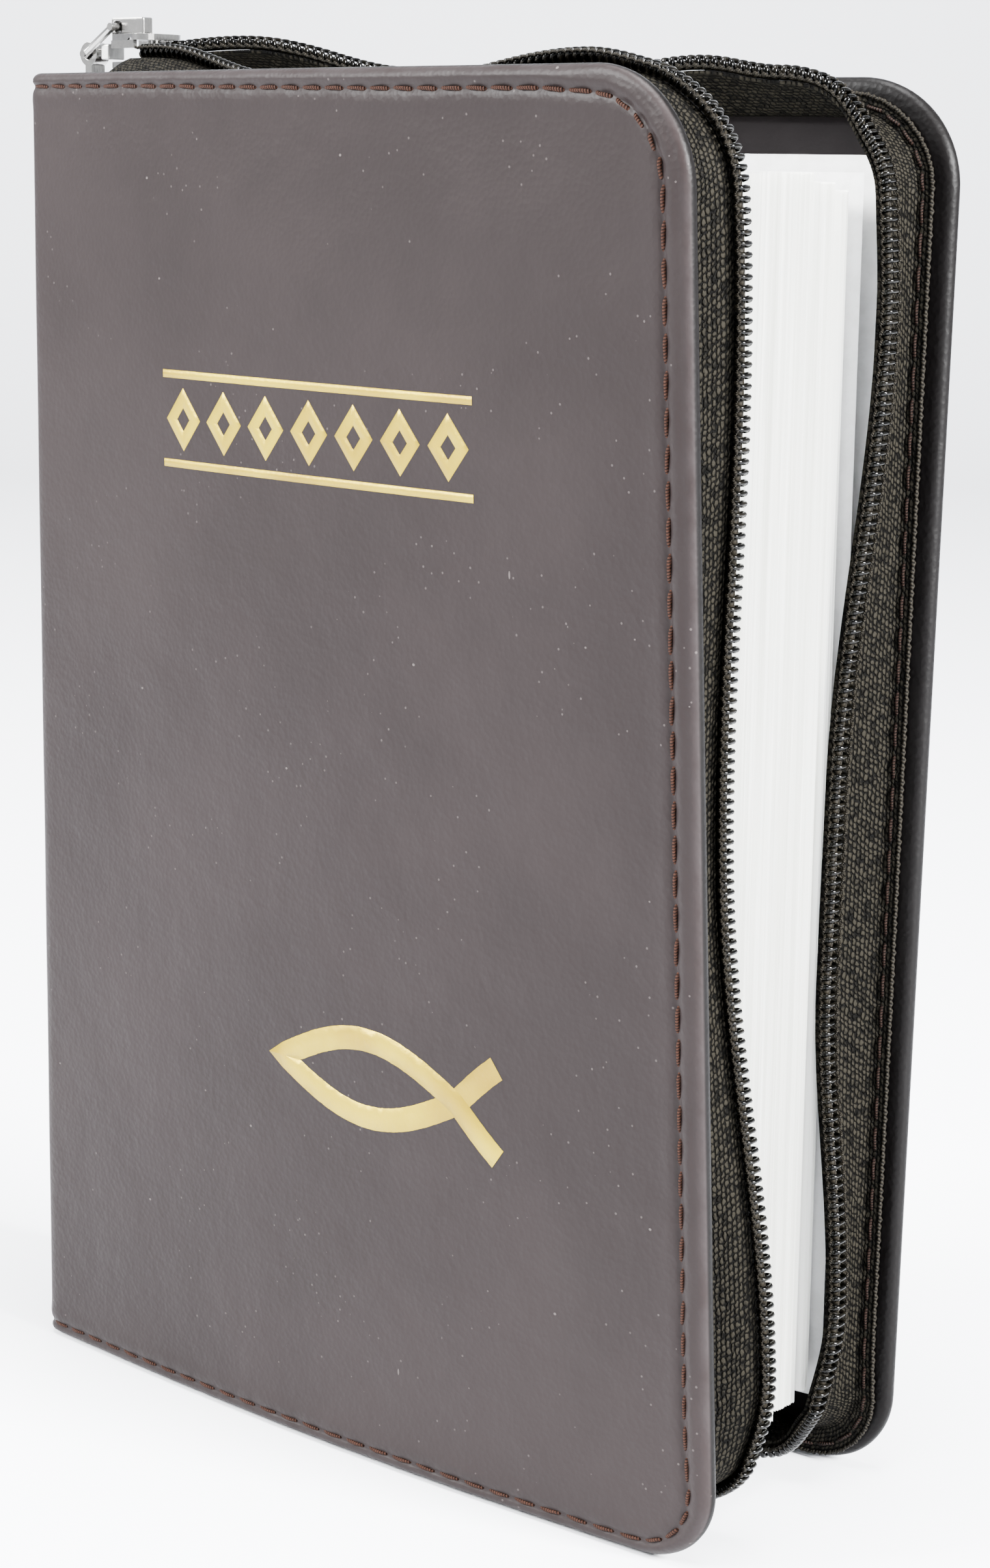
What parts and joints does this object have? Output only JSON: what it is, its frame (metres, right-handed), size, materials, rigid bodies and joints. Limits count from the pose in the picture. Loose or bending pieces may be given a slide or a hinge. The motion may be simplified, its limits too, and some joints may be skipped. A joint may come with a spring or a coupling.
{
  "type": "zip-round pocket bible",
  "caption": "Pocket bible in a soft brown zip-round cover, standing open on its tail, with gold foil ornament, white pages and a nickel slider.",
  "frame": {"origin": "centre of the standing footprint, at the level of the tail edges", "axes": "+Z from tail to head, +X from the spine to the fore edge, front cover towards -Y"},
  "size_m": [0.1216, 0.056, 0.1775],
  "materials": {
    "leatherette": "matte brown leatherette with a soft sheen",
    "card": "plain grey-brown card",
    "lining": "smooth dark brown lining",
    "endpaper": "smooth white paper",
    "thread": "copper-brown polyester thread",
    "gold_foil": "hot-stamped gold foil",
    "zip_tape": "black-olive woven twill",
    "zip_coil": "glossy black nylon monofilament",
    "mull": "open cotton gauze",
    "glue": "set binding glue",
    "band": "off-white woven band",
    "page": "thin white bible paper",
    "stop_metal": "pressed metal stop",
    "nickel": "bright nickel plate"
  },
  "bodies": {
    "spine": {"spine_skin": "leatherette", "spine_board": "card", "spine_lining": "lining", "spine_mull": "mull", "spine_glue": "glue", "headband": "band", "tailband": "band", "text_block": "page", "back_gathering": "page", "zip_end_stop": "stop_metal"},
    "front_cover": {"front_cover_skin": "leatherette", "front_cover_board": "card", "front_cover_lining": "lining", "front_pastedown": "endpaper", "front_stitching": "thread", "title_band_foil": "gold_foil", "fish_foil": "gold_foil", "front_zip_tape": "zip_tape", "front_zip_coil": "zip_coil", "front_zip_end": "zip_tape", "front_top_stop": "stop_metal"},
    "back_cover": {"back_cover_skin": "leatherette", "back_cover_board": "card", "back_cover_lining": "lining", "back_pastedown": "endpaper", "back_stitching": "thread", "back_zip_tape": "zip_tape", "back_zip_coil": "zip_coil", "back_zip_end": "zip_tape", "back_top_stop": "stop_metal"},
    "front_leaves": {"front_leaves": "page"},
    "front_flyleaf": {"front_flyleaf": "page"},
    "back_leaves": {"back_leaves": "page"},
    "back_flyleaf": {"back_flyleaf": "page"},
    "slider": {"zip_slider": "nickel", "slider_crown": "nickel"},
    "pull_link": {"pull_link": "nickel"},
    "pull_tab": {"pull_tab": "nickel"}
  },
  "joints": [
    {"name": "front_cover_hinge", "type": "hinge", "parent": "spine", "child": "front_cover", "pos_m": [-0.05597, -0.01314, 0.085], "axis": [0, 0, -1], "range_deg": [-1.2, 175], "deforming": ["front_zip_end"]},
    {"name": "back_cover_hinge", "type": "hinge", "parent": "spine", "child": "back_cover", "pos_m": [-0.05597, 0.01736, 0.085], "axis": [0, 0, 1], "range_deg": [-1.2, 175], "deforming": ["back_zip_end"]},
    {"name": "front_flyleaf_turn", "type": "hinge", "parent": "spine", "child": "front_flyleaf", "pos_m": [-0.05248, -0.01029, 0.085], "axis": [0, 0, -1], "range_deg": [-0.75, 105.5]},
    {"name": "front_leaves_turn", "type": "hinge", "parent": "spine", "child": "front_leaves", "pos_m": [-0.05207, -0.00989, 0.085], "axis": [0, 0, -1], "range_deg": [-0.6, 79]},
    {"name": "back_leaves_turn", "type": "hinge", "parent": "spine", "child": "back_leaves", "pos_m": [-0.05207, 0.01271, 0.085], "axis": [0, 0, 1], "range_deg": [-0.6, 79]},
    {"name": "back_flyleaf_turn", "type": "hinge", "parent": "spine", "child": "back_flyleaf", "pos_m": [-0.05207, 0.01406, 0.085], "axis": [0, 0, 1], "range_deg": [-0.75, 105.5]},
    {"name": "zip_slide", "type": "slide", "parent": "spine", "child": "slider", "axis": [1, 0, 0], "range_m": [0, 0.012]},
    {"name": "link_swing", "type": "hinge", "parent": "slider", "child": "pull_link", "pos_m": [-0.05407, 0.00211, 0.1763], "axis": [0, 1, 0], "range_deg": [0, 144]},
    {"name": "tab_swing", "type": "hinge", "parent": "pull_link", "child": "pull_tab", "pos_m": [-0.05927, 0.00211, 0.1729], "axis": [0, 1, 0], "range_deg": [-6, 100]}
  ],
  "couplings": [
    {"joint": "front_flyleaf_turn", "follows": "front_cover_hinge", "ratio": 0.6},
    {"joint": "front_leaves_turn", "follows": "front_cover_hinge", "ratio": 0.45},
    {"joint": "back_leaves_turn", "follows": "back_cover_hinge", "ratio": 0.45},
    {"joint": "back_flyleaf_turn", "follows": "back_cover_hinge", "ratio": 0.6},
    {"joint": "zip_slide", "follows": "link_swing", "m_per_rad": 0.004774}
  ]
}
